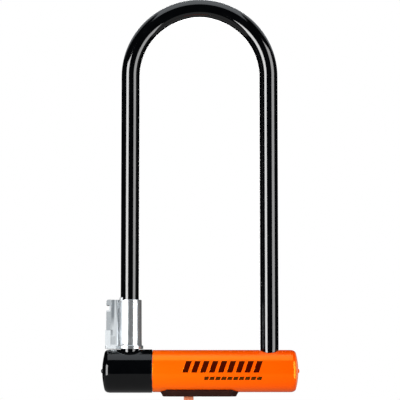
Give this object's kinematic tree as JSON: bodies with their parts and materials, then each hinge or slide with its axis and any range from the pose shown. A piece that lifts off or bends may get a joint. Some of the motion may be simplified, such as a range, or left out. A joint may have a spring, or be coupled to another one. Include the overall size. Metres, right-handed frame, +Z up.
{
  "type": "u lock",
  "caption": "Long-shackle U-lock: vinyl-coated steel shackle, oval crossbar with keyed double-bolt mechanism, sliding dust cover and a bracket adapter on one leg.",
  "frame": {"origin": "middle of the crossbar, where its long axis meets the key's axis", "axes": "+X along the crossbar towards the coloured cover's closed end, +Y away from the viewer of the front, +Z up the shackle's legs"},
  "size_m": [0.1664, 0.0332, 0.341],
  "materials": {
    "hard_steel": "hardened steel bar and tube, dull grey",
    "black_vinyl": "glossy black vinyl dip",
    "orange_vinyl": "satin bright orange vinyl",
    "silver_shell": "bright silver-coated plastic shell",
    "clear_plastic": "clear polycarbonate",
    "plated_steel": "zinc-plated steel",
    "zinc": "die-cast zinc alloy",
    "brass": "turned brass",
    "black_plastic": "fine-grained dark moulded plastic",
    "orange_plastic": "moulded orange-red plastic"
  },
  "bodies": {
    "crossbar": {"crossbar_tube": "hard_steel", "crossbar_cover": "orange_vinyl", "end_boot": "black_vinyl", "end_plug_left": "plated_steel", "end_plug_right": "plated_steel", "end_plug_pin_left": "plated_steel", "end_plug_pin_right": "plated_steel", "leg_collar_left": "zinc", "leg_collar_right": "zinc", "cylinder_carrier": "zinc", "carrier_pin": "plated_steel", "cylinder_body": "brass", "cylinder_pin": "plated_steel", "core_clip": "plated_steel", "dust_cover_frame": "black_plastic"},
    "shackle": {"shackle_bar": "hard_steel", "shackle_sleeve": "black_vinyl", "adapter_sleeve": "silver_shell", "adapter_rail": "clear_plastic", "adapter_screw": "plated_steel", "adapter_nut": "plated_steel"},
    "key_core": {"core": "brass", "core_front_plate": "plated_steel", "lock_disc_1": "brass", "lock_disc_2": "brass", "lock_disc_3": "brass", "lock_disc_4": "brass", "lock_disc_5": "brass", "sidebar": "plated_steel", "bolt_driver": "plated_steel"},
    "left_bolt": {"deadbolt_left": "plated_steel"},
    "right_bolt": {"deadbolt_right": "plated_steel"},
    "shutter": {"dust_shutter": "orange_plastic"}
  },
  "joints": [
    {"name": "shackle_lift", "type": "slide", "parent": "crossbar", "child": "shackle", "axis": [0, 0, 1], "range_m": [0, 0.06]},
    {"name": "key_turn", "type": "hinge", "parent": "crossbar", "child": "key_core", "pos_m": [0, 0, 0], "axis": [0, 0, 1], "range_deg": [0, 90]},
    {"name": "bolt_left_slide", "type": "slide", "parent": "crossbar", "child": "left_bolt", "axis": [-1, 0, 0], "range_m": [0, 0.00637]},
    {"name": "bolt_right_slide", "type": "slide", "parent": "crossbar", "child": "right_bolt", "axis": [1, 0, 0], "range_m": [0, 0.00637]},
    {"name": "shutter_slide", "type": "slide", "parent": "crossbar", "child": "shutter", "axis": [-1, 0, 0], "range_m": [0, 0.0154]}
  ],
  "couplings": [
    {"joint": "bolt_left_slide", "follows": "key_turn", "m_per_rad": 0.0040514},
    {"joint": "bolt_right_slide", "follows": "key_turn", "m_per_rad": 0.0040514}
  ]
}
